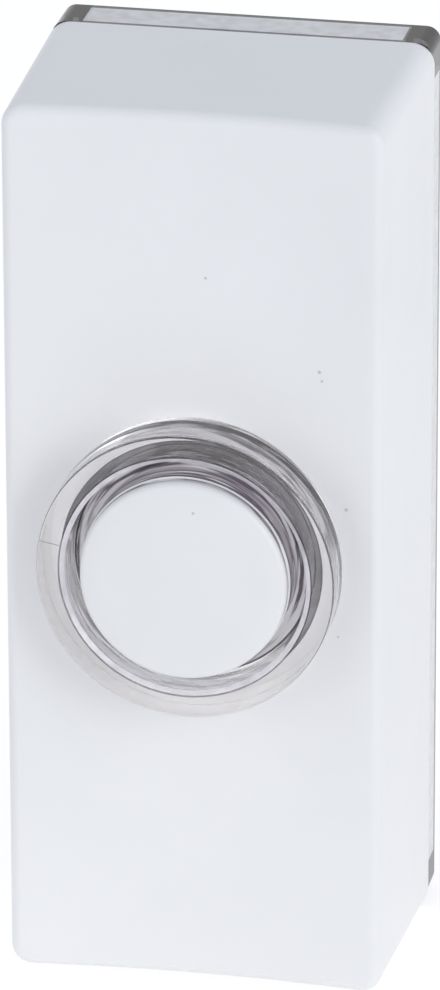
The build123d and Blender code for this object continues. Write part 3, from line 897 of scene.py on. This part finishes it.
lamp_clear = new_finish("lamp_epoxy", (0.92, 0.92, 0.90), 0.12, IOR=1.54, Transmission_Weight=0.75)
vary(lamp_clear, grain(lamp_clear, 1.0), "Roughness", 0.08, 0.2)
emboss(lamp_clear, grain(lamp_clear, 2), 0.05, 0.02)


def banded(name, dark, light, bands, roughness):
    """A small axial piece, lacquered, with bands at heights in mm along Z."""
    material = new_finish(name, light, roughness)
    mottle(material, grain(material, 2), dark, light)
    along = coordinates_of(material)["Z"]
    for height, width, colour in bands:
        overlay(material, near(material, along, height, width / 2), colour)
    emboss(material, grain(material, 4), 0.08, 0.02)
    return material


body_low, body_high = (corner[2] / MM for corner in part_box("resistor"))
middle = (body_low + body_high) / 2
band_width = 0.5
band_colours = {
    1.6: (0.30, 0.12, 0.05),
    0.6: (0.25, 0.02, 0.02),
    -0.4: (0.02, 0.02, 0.02),
    -1.8: (0.60, 0.42, 0.12),
}
resistor_bands = [(middle + above, band_width, colour) for above, colour in band_colours.items()]
resistor_tan = banded("resistor_lacquer", (0.50, 0.37, 0.21), (0.58, 0.45, 0.28), resistor_bands, 0.4)
diode_bands = [(middle + 1.4, 0.8, (0.62, 0.62, 0.60))]
diode_black = banded("diode_epoxy", (0.015, 0.015, 0.016), (0.03, 0.03, 0.03), diode_bands, 0.35)

# %% [markdown]
# ## Dressing the parts
#
# A new piece rides on a body, gets its finish and replaces its CAD node; its line in the table also lists
# the finish slot that it stands for. A CAD node that is kept only gets a finish.

# %% Dressing
dressed = [
    (cover, "housing", "cover", "white_plastic", cover_white),
    (lens_ring, "housing", "lens_ring", "clear_plastic", ring_clear),
    (button, "plunger", "button_cap", "cap_plastic", cap_white),
    (spring, "housing", "return_spring", "steel", spring_steel),
]
for piece, body, node, slot, material in dressed:
    piece.data.materials.append(material)
    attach(piece, body)
    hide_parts(node)
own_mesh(spring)
painted_shade_line.data.materials.append(shade_line_dark)
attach(painted_shade_line, "housing")

kept_finishes = {
    "back_plate": plate_clear,
    "switch_frame": nylon,
    "circuit_board": board_brown,
    "led_left": lamp_clear,
    "led_right": lamp_clear,
    "resistor": resistor_tan,
    "diode": diode_black,
    "contact_left": tin,
    "contact_right": tin,
    "contact_bridge": brass,
    "contact_rivets": brass,
    "contact_buttons": silver,
    "retaining_clip": spring_steel,
    "terminal_screws": zinc,
    "wire_clamps": zinc,
    "frame_screws": zinc,
}
for name, material in kept_finishes.items():
    for holder in nodes[name].material_slots:
        holder.material = material
print("dressed", len(dressed), "new pieces and", len(kept_finishes), "CAD nodes")

# %% [markdown]
# ## Floor, world and lights
#
# The part stands on a white floor in an even white room that is a little darker and bluer above, which
# gives the top of the cover its cool grey. One large soft lamp at the right front models the ring and the
# edges, and a small one at the left fills in. A patch of floor in front of the part glows faintly and
# lights it from below. The camera sees floor and room as plain white, and the floor still takes a faint
# shadow.


# %% Stage tools
def add_up(holder, first, second):
    """The sum of two shaders."""
    total = add_node(holder, "ShaderNodeAddShader")
    wire(holder, first, total.inputs[0])
    wire(holder, second, total.inputs[1])
    return total.outputs["Shader"]


def show(holder, kind, lighting, seen):
    """Lights the scene with one shader, and shows another to the camera, in gloss and through plastic."""
    path = add_node(holder, "ShaderNodeLightPath")
    direct = path.outputs["Is Camera Ray"]
    for ray in ("Is Glossy Ray", "Is Transmission Ray"):
        direct = reckon(holder, "MAXIMUM", direct, path.outputs[ray])
    choice = add_node(holder, "ShaderNodeMixShader")
    wire(holder, direct, choice.inputs["Fac"])
    wire(holder, lighting, choice.inputs[1])
    wire(holder, seen, choice.inputs[2])
    wire(holder, choice.outputs["Shader"], add_node(holder, kind).inputs["Surface"])


# %% Floor
floor_size = 6.0
floor_gap = 0.1
floor_white = (0.85, 0.85, 0.85, 1)
floor_grey = (0.30, 0.30, 0.30, 1)
floor_glow = 0.8
patch_front = 50
patch_core = 30
patch_reach = 100
patch_glow = 0.3

start_piece()
bpy.ops.mesh.primitive_plane_add(size=floor_size, location=(0, 0, cad_low[2] - floor_gap * MM))
floor = place(bpy.context.object, "floor")
paper = bpy.data.materials.new("white_floor")
paper.use_nodes = True
paper.node_tree.nodes.clear()
coordinates = add_node(paper, "ShaderNodeTexCoord")
reach = distance_from(paper, coordinates.outputs["Object"], (0, -patch_front * MM, cad_low[2]))
patch = add_node(paper, "ShaderNodeEmission")
patch_light = remap(paper, reach, patch_reach * MM, patch_core * MM, 0.0, patch_glow)
wire(paper, patch_light, patch.inputs["Strength"])
plain = add_node(paper, "ShaderNodeBsdfDiffuse", Color=floor_white)
shade = add_node(paper, "ShaderNodeBsdfDiffuse", Color=floor_grey)
glow = add_node(paper, "ShaderNodeEmission", Strength=floor_glow)
show(
    paper,
    "ShaderNodeOutputMaterial",
    add_up(paper, plain.outputs["BSDF"], patch.outputs["Emission"]),
    add_up(paper, shade.outputs["BSDF"], glow.outputs["Emission"]),
)
floor.data.materials.append(paper)

# %% World
room_white = (1.15, 1.15, 1.15, 1)
room_above = (0.36, 0.418, 0.52, 1)
horizon = 0.45

world = bpy.data.worlds.new("white_room")
scene.world = world
world.use_nodes = True
world.node_tree.nodes.clear()
ramp = add_node(world, "ShaderNodeValToRGB")
ramp.color_ramp.elements[0].position = horizon
ramp.color_ramp.elements[0].color = room_white
ramp.color_ramp.elements[1].position = 1.0
ramp.color_ramp.elements[1].color = room_above
wire(world, remap(world, coordinates_of(world, "Generated")["Z"], -1, 1), ramp.inputs["Fac"])
room = add_node(world, "ShaderNodeBackground")
wire(world, ramp.outputs["Color"], room.inputs["Color"])
white = add_node(world, "ShaderNodeBackground", Color=(1, 1, 1, 1))
show(world, "ShaderNodeOutputWorld", room.outputs["Background"], white.outputs["Background"])


# %% Lamp
def soft_lamp(name, direction, distance, size, power):
    """A square lamp that shines at the middle of the part from a direction."""
    lamp = bpy.data.objects.new(name, bpy.data.lights.new(name, "AREA"))
    lamp.data.size = size
    lamp.data.energy = power
    scene.collection.objects.link(lamp)
    away = Vector(direction).normalized()
    lamp.location = away * distance
    lamp.rotation_euler = away.to_track_quat("Z", "Y").to_euler()


soft_lamp("key_lamp", (0.85, -0.6, 0.35), distance=0.6, size=0.35, power=1.0)
soft_lamp("fill_lamp", (-0.75, -0.9, 0.0), distance=0.3, size=0.2, power=0.12)

# %% [markdown]
# ## Camera
#
# The photograph was taken with a long lens from above and from the right. The camera below was fitted to
# the corners of the cover and the plate: it looks at a point on the front, from a known distance and
# direction, and its lens follows from the picture's height in pixels.

# %% Camera
picture_height = 990
focal_pixels = 8105.5
look_at = Vector((2.145, -23.5, 5.694)) * MM
forward = Vector((-0.18367, 0.90877, -0.37470)).normalized()
camera_distance = 607.17 * MM
roll = math.radians(-0.156)
sensor = 36.0

right = forward.cross(Vector((0, 0, 1))).normalized()
up = right.cross(forward)
turned_right = right * math.cos(roll) + up * math.sin(roll)
turned_up = up * math.cos(roll) - right * math.sin(roll)
camera = bpy.data.objects.new("camera", bpy.data.cameras.new("camera"))
scene.collection.objects.link(camera)
camera.data.sensor_width = sensor
camera.data.lens = focal_pixels / picture_height * sensor
camera.data.clip_start = 0.01
axes = Matrix((turned_right, turned_up, -forward)).transposed().to_4x4()
camera.matrix_world = Matrix.Translation(look_at - forward * camera_distance) @ axes
scene.camera = camera
